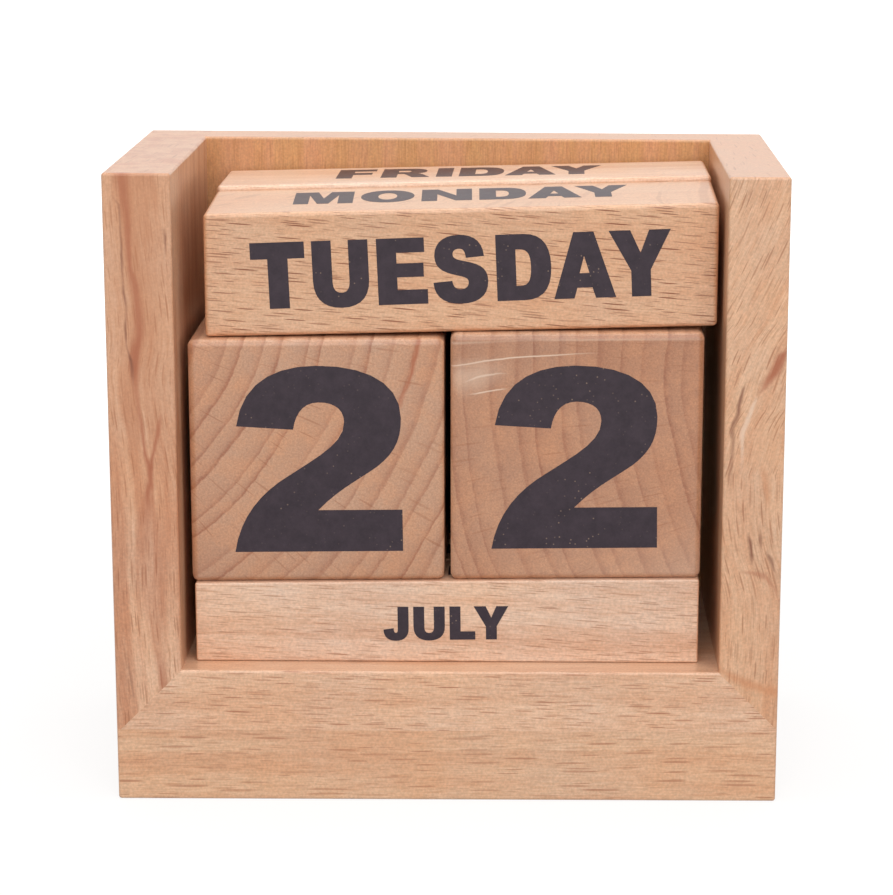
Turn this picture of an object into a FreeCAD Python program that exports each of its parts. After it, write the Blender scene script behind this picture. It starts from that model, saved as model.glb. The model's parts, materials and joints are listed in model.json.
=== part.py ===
import FreeCAD, Part
import os

# Perpetual desk calendar in beech, in millimetres.
# The origin is the middle of the footprint, on the surface that the frame stands on.
# +X is the reader's right, -Y faces the reader and +Z is up.
# The blocks are sawn by hand, so some of them are a little out of true.

# Number cubes
cube_side = 43.5
left_cube_extra_width = 0.4
left_cube_shortfall = 0.7     # the left cube is this much lower than the right one
cube_gap = 1.1                # between the two cubes
cube_round = 1.2

# Day bars and month bars
bar_shortfall = 0.7           # the bars are this much shorter than the row of two cubes
bar_gap = 0.1                 # between bars that lie side by side
front_day_bar_height = 21.25  # of its front face
front_day_bar_rise = 1.1      # from the front of its top to the rear
back_day_bar_extra_height = 1.9
day_bar_round = 0.8
month_bar_height = 14.65      # under the gap between the cubes
month_bar_taper = 1.1         # the right end is this much taller than the left one
month_bar_round = 0.4
seat_gap = 0.05               # between a block and what it rests on

# Where the blocks stand in the frame
left_play = 1.4               # beside the cubes
right_play = 3.2
back_play = 3.6               # behind the cubes
cube_setback = 6.15           # from the front of the frame to the cubes
month_bar_lead = 0.65         # the month bars stand this far in front of the cubes
day_bar_lag = 2.15            # the day bars stand this far behind the front of the cubes
month_bar_left_play = 1.95    # beside the month bars
day_bar_left_play = 4.3       # beside the day bars
rim = 6.8                     # from the front day bar to the top of the frame, above the right cube

# Frame boards
left_board = 11.5
right_board = 10.4
rail_height = 10.8            # mitred into both sides
base_plate_height = 12.75
back_panel_thickness = 10.25
frame_round = 0.5             # eased outer edges

# Steel pins
pin_diameter = 1.6
pin_length = 20.0
pin_clearance = 0.02          # all round, in the wood
pin_sunk = 0.3                # below the face of the board
side_pin_count = 3            # along each end of the back panel
pin_end_share = 0.16          # from the end of a row to its first pin

# Worked out from the blocks
left_cube_width = cube_side + left_cube_extra_width
left_cube_height = cube_side - left_cube_shortfall
row_length = left_cube_width + cube_gap + cube_side
bar_length = row_length - bar_shortfall
day_bar_depth = (cube_side - bar_gap) / 2
back_day_bar_height = front_day_bar_height + back_day_bar_extra_height
month_bar_depth = (cube_side - 2 * bar_gap) / 3
row_slope = month_bar_taper / bar_length
lean_slope = left_cube_shortfall / (left_cube_width + cube_gap)

# Worked out from the blocks and the boards
frame_width = left_board + left_play + row_length + right_play + right_board
frame_depth = cube_setback + cube_side + back_play + back_panel_thickness
floor_z = base_plate_height + rail_height
cube_z = floor_z + seat_gap + month_bar_height + seat_gap
frame_height = cube_z + cube_side + seat_gap + front_day_bar_height + rim
outer_x = frame_width / 2
left_x = -outer_x + left_board
right_x = outer_x - right_board
front_y = -frame_depth / 2
back_y = frame_depth / 2
panel_y = back_y - back_panel_thickness
cube_y = front_y + cube_setback
left_cube_x = left_x + left_play
right_cube_x = left_cube_x + left_cube_width + cube_gap
seam_x = right_cube_x - cube_gap / 2


def at(x, y, z):
    return FreeCAD.Vector(x, y, z)


def flat_face(points):
    return Part.Face(Part.makePolygon(points + points[:1]))


def prism(outline, depth, y):
    # An outline of (x, z) points, pushed back along +Y from y
    face = flat_face([at(x, y, z) for x, z in outline])
    return face.extrude(at(0, depth, 0))


def box(x_span, y_span, z_span):
    low, high = zip(x_span, y_span, z_span)
    return Part.makeBox(*[b - a for a, b in zip(low, high)], at(*low))


# Frame boards, with square edges

def rail_blank():
    # Its ends run down and outwards at 45 degrees from the inner corners of the frame
    outline = [
        (left_x - rail_height, base_plate_height),
        (right_x + rail_height, base_plate_height),
        (right_x, floor_z),
        (left_x, floor_z),
    ]
    room = box((-outer_x, outer_x), (front_y, back_y), (base_plate_height, floor_z))
    return prism(outline, frame_depth, front_y).common(room)


def side_blank(x_span):
    board = box(x_span, (front_y, back_y), (base_plate_height, frame_height))
    return board.cut(rail_blank())


def base_plate_blank():
    return box((-outer_x, outer_x), (front_y, back_y), (0, base_plate_height))


def back_panel_blank():
    return box((left_x, right_x), (panel_y, back_y), (floor_z, frame_height))


def on_outside(edge):
    # True for an edge that lies in one of the six outer planes of the frame
    limits = edge.BoundBox
    tolerance = frame_round / 100
    spans = [
        (limits.XMin, limits.XMax, -outer_x),
        (limits.XMin, limits.XMax, outer_x),
        (limits.YMin, limits.YMax, front_y),
        (limits.YMin, limits.YMax, back_y),
        (limits.ZMin, limits.ZMax, 0),
        (limits.ZMin, limits.ZMax, frame_height),
    ]
    return any(abs(low - plane) < tolerance and abs(high - plane) < tolerance
               for low, high, plane in spans)


def eased_frame():
    # The whole glued frame as one solid, its outer edges eased together
    rail = rail_blank()
    rest = [side_blank((-outer_x, left_x)), side_blank((right_x, outer_x)), base_plate_blank(), back_panel_blank()]
    frame = rail.multiFuse(rest).removeSplitter()
    edges = [edge for edge in frame.Edges if on_outside(edge)]
    return frame.makeFillet(frame_round, edges)


# Pins

def pin(start, direction, clearance=0):
    radius = pin_diameter / 2 + clearance
    if clearance:
        return Part.makeCylinder(radius, pin_length + pin_sunk, start, direction)
    sunk = start + direction * pin_sunk
    return Part.makeCylinder(radius, pin_length, sunk, direction)


def spread(low, high, count):
    # Evenly spaced places between low and high, set in from both ends
    inset = pin_end_share * (high - low)
    step = (high - low - 2 * inset) / (count - 1)
    return [low + inset + step * index for index in range(count)]


def side_pin_starts():
    # Pins through a side board: into the end of the rail, and into the back panel
    starts = []
    for y in spread(front_y, panel_y, 2):
        starts.append((y, base_plate_height + rail_height / 2))
    for z in spread(floor_z, frame_height, side_pin_count):
        starts.append((back_y - back_panel_thickness / 2, z))
    return starts


def side_pins(side, clearance=0):
    # side is -1 for the left board and 1 for the right one
    direction = at(-side, 0, 0)
    return [pin(at(side * outer_x, y, z), direction, clearance) for y, z in side_pin_starts()]


def base_pins(clearance=0):
    # Pins up through the base plate into the rail
    return [pin(at(x, y, 0), at(0, 0, 1), clearance)
            for x in spread(left_x, right_x, 2)
            for y in spread(front_y, back_y, 2)]


def pin_holes():
    clearance = pin_clearance
    return Part.makeCompound(side_pins(-1, clearance) + side_pins(1, clearance) + base_pins(clearance))


# Blocks

def row_rise(x):
    # How much higher the tapered month bars carry a place on them than the seam between the cubes
    return row_slope * (x - seam_x)


def block(x_span, y_span, bottom, top, radius):
    # A rounded block with plumb sides. bottom and top give its height at a place (x, y).
    places = [(x_span[0], y_span[0]), (x_span[1], y_span[0]), (x_span[1], y_span[1]), (x_span[0], y_span[1])]
    low = [at(x, y, bottom(x, y)) for x, y in places]
    high = [at(x, y, top(x, y)) for x, y in places]
    sides = [[low[i], low[i - 3], high[i - 3], high[i]] for i in range(4)]
    faces = [flat_face(points) for points in [low[::-1], high] + sides]
    solid = Part.makeSolid(Part.makeShell(faces))
    return solid.makeFillet(radius, solid.Edges)


def number_cube(x, width, height):
    def bottom(place_x, place_y):
        return cube_z + row_rise(place_x)

    def top(place_x, place_y):
        return bottom(place_x, place_y) + height

    return block((x, x + width), (cube_y, cube_y + cube_side), bottom, top, cube_round)


def month_bar(index):
    def bottom(x, y):
        return floor_z + seat_gap

    def top(x, y):
        return bottom(x, y) + month_bar_height + row_rise(x)

    left = left_x + month_bar_left_play
    front = cube_y - month_bar_lead + index * (month_bar_depth + bar_gap)
    return block((left, left + bar_length), (front, front + month_bar_depth), bottom, top, month_bar_round)


def day_bar(index, height, rise):
    # The bars lean on the left ends of both cubes
    left = left_x + day_bar_left_play
    front = cube_y + day_bar_lag + index * (day_bar_depth + bar_gap)

    def bottom(x, y):
        lean = lean_slope * (x - right_cube_x)
        return cube_z + row_rise(x) + cube_side + seat_gap + lean

    def top(x, y):
        return bottom(x, y) + height + rise * (y - front) / day_bar_depth

    return block((left, left + bar_length), (front, front + day_bar_depth), bottom, top, day_bar_round)


def build():
    frame = eased_frame()
    holes = pin_holes()
    boards = {
        "left_side_board": side_blank((-outer_x, left_x)),
        "right_side_board": side_blank((right_x, outer_x)),
        "bottom_rail": rail_blank(),
        "base_plate": base_plate_blank(),
        "back_panel": back_panel_blank(),
    }
    nodes = {name: blank.common(frame).cut(holes) for name, blank in boards.items()}
    nodes["left_side_pins"] = Part.makeCompound(side_pins(-1))
    nodes["right_side_pins"] = Part.makeCompound(side_pins(1))
    nodes["base_plate_pins"] = Part.makeCompound(base_pins())
    nodes["left_number_cube"] = number_cube(left_cube_x, left_cube_width, left_cube_height)
    nodes["right_number_cube"] = number_cube(right_cube_x, cube_side, cube_side)
    nodes["day_bar_front"] = day_bar(0, front_day_bar_height, front_day_bar_rise)
    nodes["day_bar_back"] = day_bar(1, back_day_bar_height, 0)
    for index, place in enumerate(("front", "middle", "back")):
        nodes["month_bar_" + place] = month_bar(index)
    return nodes


os.makedirs("parts", exist_ok=True)
for name, shape in build().items():
    shape.exportStep(os.path.join("parts", name + ".step"))
    print(name, "solids", len(shape.Solids), "valid", shape.isValid(), "volume", round(shape.Volume, 1))
print("frame", round(frame_width, 2), round(frame_depth, 2), round(frame_height, 2))
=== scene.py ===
import json
import math

import bmesh
import bpy
from mathutils import Matrix, Vector

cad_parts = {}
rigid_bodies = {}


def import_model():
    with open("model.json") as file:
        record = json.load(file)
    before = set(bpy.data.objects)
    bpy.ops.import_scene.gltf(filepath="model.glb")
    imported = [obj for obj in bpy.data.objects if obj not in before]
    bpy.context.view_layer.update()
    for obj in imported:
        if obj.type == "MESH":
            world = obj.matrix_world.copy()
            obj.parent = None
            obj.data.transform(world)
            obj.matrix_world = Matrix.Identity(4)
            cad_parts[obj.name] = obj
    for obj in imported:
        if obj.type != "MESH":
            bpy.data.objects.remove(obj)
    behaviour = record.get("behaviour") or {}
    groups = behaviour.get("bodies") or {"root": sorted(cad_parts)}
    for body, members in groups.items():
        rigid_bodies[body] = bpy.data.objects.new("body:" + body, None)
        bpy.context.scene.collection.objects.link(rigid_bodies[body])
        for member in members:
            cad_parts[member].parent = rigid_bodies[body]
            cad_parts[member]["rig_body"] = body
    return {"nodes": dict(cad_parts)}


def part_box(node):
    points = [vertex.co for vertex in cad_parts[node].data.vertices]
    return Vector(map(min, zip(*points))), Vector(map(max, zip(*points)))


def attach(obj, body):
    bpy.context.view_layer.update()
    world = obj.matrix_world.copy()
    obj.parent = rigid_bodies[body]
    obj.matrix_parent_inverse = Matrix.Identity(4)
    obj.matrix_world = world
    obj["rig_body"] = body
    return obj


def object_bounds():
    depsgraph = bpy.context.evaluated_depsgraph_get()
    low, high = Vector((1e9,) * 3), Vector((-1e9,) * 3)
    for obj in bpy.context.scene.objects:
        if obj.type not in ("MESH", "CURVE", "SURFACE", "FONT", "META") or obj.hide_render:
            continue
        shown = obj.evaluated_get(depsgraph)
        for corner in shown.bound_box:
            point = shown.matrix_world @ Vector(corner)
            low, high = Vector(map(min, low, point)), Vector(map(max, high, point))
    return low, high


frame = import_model()
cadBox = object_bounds()
nodes = frame["nodes"]
mm = 0.001
print("frame loaded,", len(nodes), "pieces")


# Small helpers

def linear(hexText):
    # sRGB hex to the linear colour that a socket takes
    shares = [int(hexText[i:i + 2], 16) / 255 for i in (1, 3, 5)]
    return [s / 12.92 if s <= 0.04045 else ((s + 0.055) / 1.055) ** 2.4 for s in shares] + [1]


def addNode(tree, kind, settings={}, inputs={}):
    # settings are the node's own choices. An input takes a fixed value, or a socket that it is wired to.
    node = tree.nodes.new(kind)
    for name, value in settings.items():
        setattr(node, name, value)
    for name, value in inputs.items():
        if isinstance(value, bpy.types.NodeSocket):
            tree.links.new(value, node.inputs[name])
        else:
            node.inputs[name].default_value = value
    return node


def addMath(tree, operation, *terms):
    return addNode(tree, "ShaderNodeMath", {"operation": operation}, dict(enumerate(terms))).outputs[0]


def addVector(tree, operation, *terms):
    node = addNode(tree, "ShaderNodeVectorMath", {"operation": operation}, dict(enumerate(terms)))
    return node.outputs["Value" if operation in ("LENGTH", "DOT_PRODUCT") else "Vector"]


def addScaled(tree, vector, share):
    settings = {"operation": "SCALE"}
    return addNode(tree, "ShaderNodeVectorMath", settings, {0: vector, "Scale": share}).outputs[0]


def addPlace(tree, x, y=0, z=0):
    return addNode(tree, "ShaderNodeCombineXYZ", {}, {0: x, 1: y, 2: z}).outputs[0]


def addRange(tree, value, span, newSpan=(0, 1), smooth=False):
    # Brings span onto newSpan, and holds what lies past it at its ends
    settings = {"interpolation_type": "SMOOTHSTEP" if smooth else "LINEAR"}
    inputs = {"Value": value, "From Min": span[0], "From Max": span[1]}
    inputs.update({"To Min": newSpan[0], "To Max": newSpan[1]})
    return addNode(tree, "ShaderNodeMapRange", settings, inputs).outputs[0]


def addMix(tree, share, first, second):
    # A colour that lies this share of the way from the first one to the second
    return addNode(tree, "ShaderNodeMix", {"data_type": "RGBA"}, {0: share, 6: first, 7: second}).outputs[2]


def addNoise(tree, place, scale, detail, roughness=0.5, seed=None, output=0):
    settings, inputs = {}, {"Vector": place, "Scale": scale, "Detail": detail, "Roughness": roughness}
    if seed is not None:
        settings["noise_dimensions"] = "4D"
        inputs["W"] = seed
    return addNode(tree, "ShaderNodeTexNoise", settings, inputs).outputs[output]


def addSurface(tree, inputs):
    shader = addNode(tree, "ShaderNodeBsdfPrincipled", {}, inputs)
    addNode(tree, "ShaderNodeOutputMaterial", {}, {0: shader.outputs[0]})


def newMaterial(name):
    material = bpy.data.materials.new(name)
    material.use_nodes = True
    material.node_tree.nodes.clear()
    return material


def setMaterial(node, material):
    nodes[node].data.materials.clear()
    nodes[node].data.materials.append(material)


# Camera, at the angle of the photograph

cameraView = {
    "place": (0.01319, -0.48721, 0.16896),   # metres
    "lens": 110.53,                    # mm, on a 36 mm long side
    "downTilt": 13.03,                 # degrees below level
    "rightTurn": 0.60,                 # degrees
    "lean": 0.46,                      # degrees, its right side up
    "shift": -0.1186,                  # of the long side
}


def makeCamera():
    data = bpy.data.cameras.new("photoCamera")
    data.lens = cameraView["lens"]
    data.sensor_width = 36
    data.shift_x = cameraView["shift"]
    data.clip_start, data.clip_end = 0.02, 30
    camera = bpy.data.objects.new("photoCamera", data)
    turn = Matrix.Rotation(math.radians(-cameraView["rightTurn"]), 4, "Z")
    tilt = Matrix.Rotation(math.radians(90 - cameraView["downTilt"]), 4, "X")
    lean = Matrix.Rotation(math.radians(cameraView["lean"]), 4, "Z")
    camera.matrix_world = Matrix.Translation(cameraView["place"]) @ turn @ tilt @ lean
    bpy.context.scene.collection.objects.link(camera)
    bpy.context.scene.camera = camera


makeCamera()
print("camera placed")


# Studio: white surround, a broad softbox in front and one overhead

studio = {
    "surround": 0.45,               # light that the white surround gives the object
    "lamps": [
        # name, place in metres, side in metres, watts
        ("frontSoftbox", (0.12, -1.10, 0.78), 1.20, 10.4),
        ("topSoftbox", (0.0, 0.05, 1.20), 0.80, 6.9),
    ],
    "floorSide": 8.0,               # metres
    "floorCard": "#bdbbb9",         # as the object sees it
    "floorGlow": (0.60, 1.0),       # share of white that no shadow reaches, near the object and far off
    "floorFade": (0.10, 0.40),      # metres from the object, where that share starts and stops to grow
    "floorWhite": 1.35,             # brightness of that white
}

white = (1, 1, 1, 1)


def seenPlainly(tree):
    # 1 where the camera, a reflection or clear glass shows the studio, 0 where the studio lights something
    path = addNode(tree, "ShaderNodeLightPath").outputs
    seen = addMath(tree, "MAXIMUM", path["Is Camera Ray"], path["Is Glossy Ray"])
    return addMath(tree, "MAXIMUM", seen, path["Is Transmission Ray"])


def makeWorld():
    world = bpy.data.worlds.new("studioSurround")
    world.use_nodes = True
    tree = world.node_tree
    tree.nodes.clear()
    light = addNode(tree, "ShaderNodeBackground", {}, {"Color": white, "Strength": studio["surround"]})
    plain = addNode(tree, "ShaderNodeBackground", {}, {"Color": white, "Strength": 1.0})
    mix = addNode(tree, "ShaderNodeMixShader", {},
                  {0: seenPlainly(tree), 1: light.outputs[0], 2: plain.outputs[0]})
    addNode(tree, "ShaderNodeOutputWorld", {}, {0: mix.outputs[0]})
    bpy.context.scene.world = world


def makeLamps():
    middle = (cadBox[0] + cadBox[1]) / 2
    for name, place, side, watts in studio["lamps"]:
        data = bpy.data.lights.new(name, "AREA")
        data.size = side
        data.energy = watts
        lamp = bpy.data.objects.new(name, data)
        lamp.location = place
        lamp.rotation_euler = (middle - Vector(place)).to_track_quat("-Z", "Y").to_euler()
        lamp.visible_camera = False
        bpy.context.scene.collection.objects.link(lamp)


def makeFloor():
    # A card that glows white for the camera, more so far away, and still takes the object's shadow nearby
    half = studio["floorSide"] / 2
    corners = [(-half, -half, 0), (half, -half, 0), (half, half, 0), (-half, half, 0)]
    mesh = bpy.data.meshes.new("floorCard")
    mesh.from_pydata(corners, [], [(0, 1, 2, 3)])
    floor = bpy.data.objects.new("floorCard", mesh)
    bpy.context.scene.collection.objects.link(floor)
    material = newMaterial("whiteCard")
    tree = material.node_tree
    away = addVector(tree, "LENGTH", addNode(tree, "ShaderNodeTexCoord").outputs["Object"])
    glowing = addRange(tree, away, studio["floorFade"], studio["floorGlow"], smooth=True)
    share = addMath(tree, "MULTIPLY", seenPlainly(tree), glowing)
    card = addNode(tree, "ShaderNodeBsdfDiffuse", {}, {"Color": linear(studio["floorCard"])})
    glow = addNode(tree, "ShaderNodeEmission", {}, {"Color": white, "Strength": studio["floorWhite"]})
    mix = addNode(tree, "ShaderNodeMixShader", {}, {0: share, 1: card.outputs[0], 2: glow.outputs[0]})
    addNode(tree, "ShaderNodeOutputMaterial", {}, {0: mix.outputs[0]})
    mesh.materials.append(material)


makeWorld()
makeLamps()
makeFloor()
bpy.context.scene.view_settings.view_transform = "Standard"
print("studio lit")


# Beech, sawn and sanded, under a thin clear coat: pale pinkish tan with short dark ray flecks
# on the flat-sawn faces, faint rings, and browner end grain.
# One group holds the solid figure of the wood, and every piece sets it for its own board.

beechScale = {
    "fibre": (0.26, 3.6),           # mm across and along, coarser than real fibres so that it shows
    "speckle": 0.42,                # mm, open pores, also drawn coarser
    "endRay": (1.1, 16.0),          # mm around the pith and outwards, one cell of rays on end grain
    "streak": (3.2, 45.0),          # mm across and along
    "blotch": 14.0,                 # mm
    "wander": (30.0, 110.0),        # mm across and along, how slowly the grain wanders
    "ringJitter": (0.25, 0.8),      # mm, how ragged the rings are, and how often per mm
    "ringPace": (0.45, 1.6),        # how often the rings change their width, and by how many rings
}

beechTone = {
    "ringEnds": 0.10,               # darkness where one ring meets the next
    "ringLine": ((0.06, 0.0), (0.45, 0.15), (0.75, 0.42), (0.90, 1.0), (0.96, 0.9)),   # place, darkness
    "ringTone": (0.5, 1.0),         # of the faintest and the darkest ring
    "longRay": (0.07, 0.33),        # radius of the least and the largest one, as shares of a cell
    "shortRay": (0.04, 0.26),
    "endRay": (0.02, 0.20),
    "rayCore": 0.6,                 # share of a ray's radius that is fully dark
    "rayTone": (0.4, 1.0),          # of the faintest and the darkest ray
    "shortRays": (1.9, 0.45),       # their density and darkness beside those of the long ones
    "alongRadius": 0.22,            # share of the flecks that faces along the radius show
    "endGrain": (0.3, 0.95),        # how square to the grain a face turns to end grain, and is whole
    "streak": (0.40, 0.66),         # noise at which a streak starts, and is whole
    "cloudSpan": (0.35, 0.65),
    "cloud": (1.04, 0.97, 0.89, 1), # tint of the darker patches
    "fineSpan": (0.32, 0.68),       # of the noise in fibres and speckle
    "fibre": ((0.91, 0.83, 0.76, 1), (1.07, 1.09, 1.10, 1)),   # tints of the darkest and the palest one
    "speckle": (0.89, 1.09),
    "fleckDepth": -0.7,             # beside the height of the fibres
    "fibreHeight": 0.5,
}

beechFinish = {
    "roughness": (0.42, 0.60),      # of the wood under the coat
    "ior": 1.25,                    # of the wood under the coat
    "coatRoughness": 0.33,
    "coatIor": 1.5,
    "bump": 0.5,
    "bumpDepth": 0.05,              # mm
}


def perMillimetre(size):
    # The scale across, across and along for noise of this width and length
    width, length = size
    return (1 / width, 1 / width, 1 / length)


def addDashes(tree, place, density, radii):
    # One tapered dash in each stretched cell, from 0 to 1. radii are those of the least and the largest dash.
    cells = addNode(tree, "ShaderNodeTexVoronoi", {"voronoi_dimensions": "2D"},
                    {"Vector": place, "Scale": density}).outputs
    pick = addNode(tree, "ShaderNodeSeparateColor", {}, {0: cells["Color"]}).outputs
    radius = addRange(tree, pick[0], (0, 1), radii)
    core = addMath(tree, "MULTIPLY", radius, beechTone["rayCore"])
    dash = addRange(tree, cells["Distance"], (core, radius), (1, 0), smooth=True)
    return addMath(tree, "MULTIPLY", dash, addRange(tree, pick[1], (0, 1), beechTone["rayTone"]))


def makeBeechGroup():
    group = bpy.data.node_groups.new("beechFigure", "ShaderNodeTree")
    inputs = [
        ("Grain Turn", "Vector"),   # turns the grain onto the local Z
        ("Pith", "Vector"),         # mm, from the origin in the turned axes
        ("Pith Distance", "Float"), # mm, from the middle of the piece
        ("Radial", "Vector"),       # faces square to it show flecks
        ("Grain", "Vector"),        # faces square to it show end grain
        ("Shift", "Float"),         # mm, moves the grain across
        ("Seed", "Float"),
        ("Wander", "Float"),        # mm
        ("Ring Width", "Float"),    # mm
        ("Ring Strength", "Float"),
        ("Streak Strength", "Float"),
        ("Fleck Strength", "Float"),
        ("Fleck Width", "Float"),   # mm across the grain, one cell of flecks
        ("Fleck Length", "Float"),  # mm along the grain, the same cell
        ("Early Wood", "Color"),
        ("Late Wood", "Color"),
        ("Streak", "Color"),
        ("Fleck", "Color"),
        ("End Grain", "Color"),
    ]
    outputs = [("Color", "Color"), ("Roughness", "Float"), ("Height", "Float")]
    for way, sockets in (("INPUT", inputs), ("OUTPUT", outputs)):
        for name, kind in sockets:
            group.interface.new_socket(name, in_out=way, socket_type="NodeSocket" + kind)

    given = addNode(group, "NodeGroupInput").outputs
    texture = addNode(group, "ShaderNodeTexCoord").outputs
    place = texture["Object"]

    # Millimetres, with the grain along Z and the pith on the Z axis
    turned = addNode(group, "ShaderNodeMapping", {}, {
        "Vector": place, "Rotation": given["Grain Turn"], "Scale": (1 / mm,) * 3}).outputs[0]
    shifted = addVector(group, "ADD", turned, addPlace(group, given["Shift"]))
    centred = addVector(group, "SUBTRACT", shifted, given["Pith"])
    slow = addVector(group, "MULTIPLY", centred, perMillimetre(beechScale["wander"]))
    drift = addNoise(group, slow, 1, 2, seed=given["Seed"], output="Color")
    bothWays = addVector(group, "SUBTRACT", drift, (0.5, 0.5, 0.5))
    wood = addVector(group, "ADD", centred, addScaled(group, bothWays, given["Wander"]))
    axes = addNode(group, "ShaderNodeSeparateXYZ", {}, {0: wood}).outputs
    distance = addVector(group, "LENGTH", addPlace(group, axes[0], axes[1]))

    # Growth rings: a slow darkening that ends in a thin late-wood line, no two rings alike
    ragged, raggedPace = beechScale["ringJitter"]
    jitter = addNoise(group, centred, raggedPace, 2)
    jittered = addMath(group, "MULTIPLY_ADD", jitter, 2 * ragged, distance)
    ringCount = addMath(group, "DIVIDE", jittered, given["Ring Width"])
    pace, swing = beechScale["ringPace"]
    unevenness = addNode(group, "ShaderNodeTexNoise", {"noise_dimensions": "1D"},
                         {"W": ringCount, "Scale": pace, "Detail": 1}).outputs[0]
    unevenCount = addMath(group, "MULTIPLY_ADD", unevenness, swing, ringCount)
    ringNumber = addMath(group, "FLOOR", unevenCount)
    ringDark = addNode(group, "ShaderNodeTexWhiteNoise", {"noise_dimensions": "1D"}, {"W": ringNumber})
    ringTone = addRange(group, ringDark.outputs["Value"], (0, 1), beechTone["ringTone"])
    ringLine = addNode(group, "ShaderNodeValToRGB", {}, {0: addMath(group, "FRACT", unevenCount)})
    stops = ringLine.color_ramp.elements
    for stop in stops:
        stop.color = (*(beechTone["ringEnds"],) * 3, 1)
    for position, value in beechTone["ringLine"]:
        stop = stops.new(position)
        stop.color = (value, value, value, 1)
    ringValue = addMath(group, "MULTIPLY", ringLine.outputs[0], ringTone)
    ringFactor = addMath(group, "MULTIPLY", ringValue, given["Ring Strength"])

    # Rays: thin ribbons from the pith outwards, seen as short dashes along the grain, long and short ones,
    # and on end grain as fine lines away from the pith
    angle = addMath(group, "ARCTAN2", axes[0], axes[1])
    around = addMath(group, "MULTIPLY", angle, given["Pith Distance"])
    cellSize = addPlace(group, given["Fleck Width"], given["Fleck Length"], 1)
    cell = addVector(group, "DIVIDE", addPlace(group, around, axes[2]), cellSize)
    density, tone = beechTone["shortRays"]
    longRay = addDashes(group, cell, 1, beechTone["longRay"])
    shortRay = addMath(group, "MULTIPLY", addDashes(group, cell, density, beechTone["shortRay"]), tone)
    ray = addMath(group, "MAXIMUM", longRay, shortRay)
    endCell = addVector(group, "DIVIDE", addPlace(group, around, distance), (*beechScale["endRay"], 1))
    endRay = addDashes(group, endCell, 1, beechTone["endRay"])

    # How far the face is square to the radius or to the grain
    flatSawn = addMath(group, "ABSOLUTE", addVector(group, "DOT_PRODUCT", texture["Normal"], given["Radial"]))
    rayShare = addRange(group, flatSawn, (0, 1), (beechTone["alongRadius"], 1))
    rayFaced = addMath(group, "MULTIPLY", ray, rayShare)
    crossCut = addMath(group, "ABSOLUTE", addVector(group, "DOT_PRODUCT", texture["Normal"], given["Grain"]))
    endFade = addRange(group, crossCut, beechTone["endGrain"], smooth=True)
    rayShown = addNode(group, "ShaderNodeMix", {"data_type": "FLOAT"}, {0: endFade, 2: rayFaced, 3: endRay})
    rayFactor = addMath(group, "MULTIPLY", rayShown.outputs[0], given["Fleck Strength"])

    # Fibres, streaks along the grain, cloudy patches and speckle
    fibrePlace = addVector(group, "MULTIPLY", wood, perMillimetre(beechScale["fibre"]))
    fibre = addNoise(group, fibrePlace, 1, 3, 0.6)
    fibreTone = addMix(group, addRange(group, fibre, beechTone["fineSpan"]), *beechTone["fibre"])
    streakPlace = addVector(group, "MULTIPLY", wood, perMillimetre(beechScale["streak"]))
    streak = addNoise(group, streakPlace, 1, 4, 0.6, given["Seed"])
    streakTone = addRange(group, streak, beechTone["streak"], smooth=True)
    streakFactor = addMath(group, "MULTIPLY", streakTone, given["Streak Strength"])
    cloud = addNoise(group, place, 1 / (beechScale["blotch"] * mm), 2, seed=given["Seed"])
    cloudTone = addMix(group, addRange(group, cloud, beechTone["cloudSpan"]), beechTone["cloud"], white)
    speckle = addNoise(group, place, 1 / (beechScale["speckle"] * mm), 2)
    speckleTone = addRange(group, speckle, beechTone["fineSpan"], beechTone["speckle"])

    # Colour, from the ground up
    ground = addMix(group, endFade, given["Early Wood"], given["End Grain"])
    ringed = addMix(group, ringFactor, ground, given["Late Wood"])
    streaked = addMix(group, streakFactor, ringed, given["Streak"])
    fibred = addVector(group, "MULTIPLY", addVector(group, "MULTIPLY", streaked, cloudTone), fibreTone)
    flecked = addMix(group, rayFactor, addScaled(group, fibred, speckleTone), given["Fleck"])

    # Flecks lie a little lower than the sanded ground
    roughness = addRange(group, fibre, (0, 1), beechFinish["roughness"])
    sunk = addMath(group, "MULTIPLY", rayFactor, beechTone["fleckDepth"])
    height = addMath(group, "MULTIPLY_ADD", fibre, beechTone["fibreHeight"], sunk)
    addNode(group, "NodeGroupOutput", {}, {"Color": flecked, "Roughness": roughness, "Height": height})
    return group


beechGroup = makeBeechGroup()

grainAxes = {
    # the turn that brings the grain onto local Z, the grain and the radius in the frame's axes
    "x": ((0, math.radians(-90), 0), (1, 0, 0), (0, 1, 0)),
    "y": ((math.radians(90), 0, 0), (0, 1, 0), (1, 0, 0)),
    "z": ((0, 0, 0), (0, 0, 1), (0, 1, 0)),
}

markColours = {"brown": "#713819", "reddish": "#a65c38", "orange": "#c67b48", "tan": "#bd7c52",
               "pale": "#ecd2bb"}

markForm = {
    "ragged": 1.1,                  # mm that a mark usually strays from its path
    "strayPace": (0.9, 0.9, 0.22),  # per mm, how fast it strays across, across and up
    "fade": 1.5,                    # times half its width, where it is gone
    "depth": (0.4, 1.6),            # mm behind the front face, where it starts to fade and is gone
}


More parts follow.
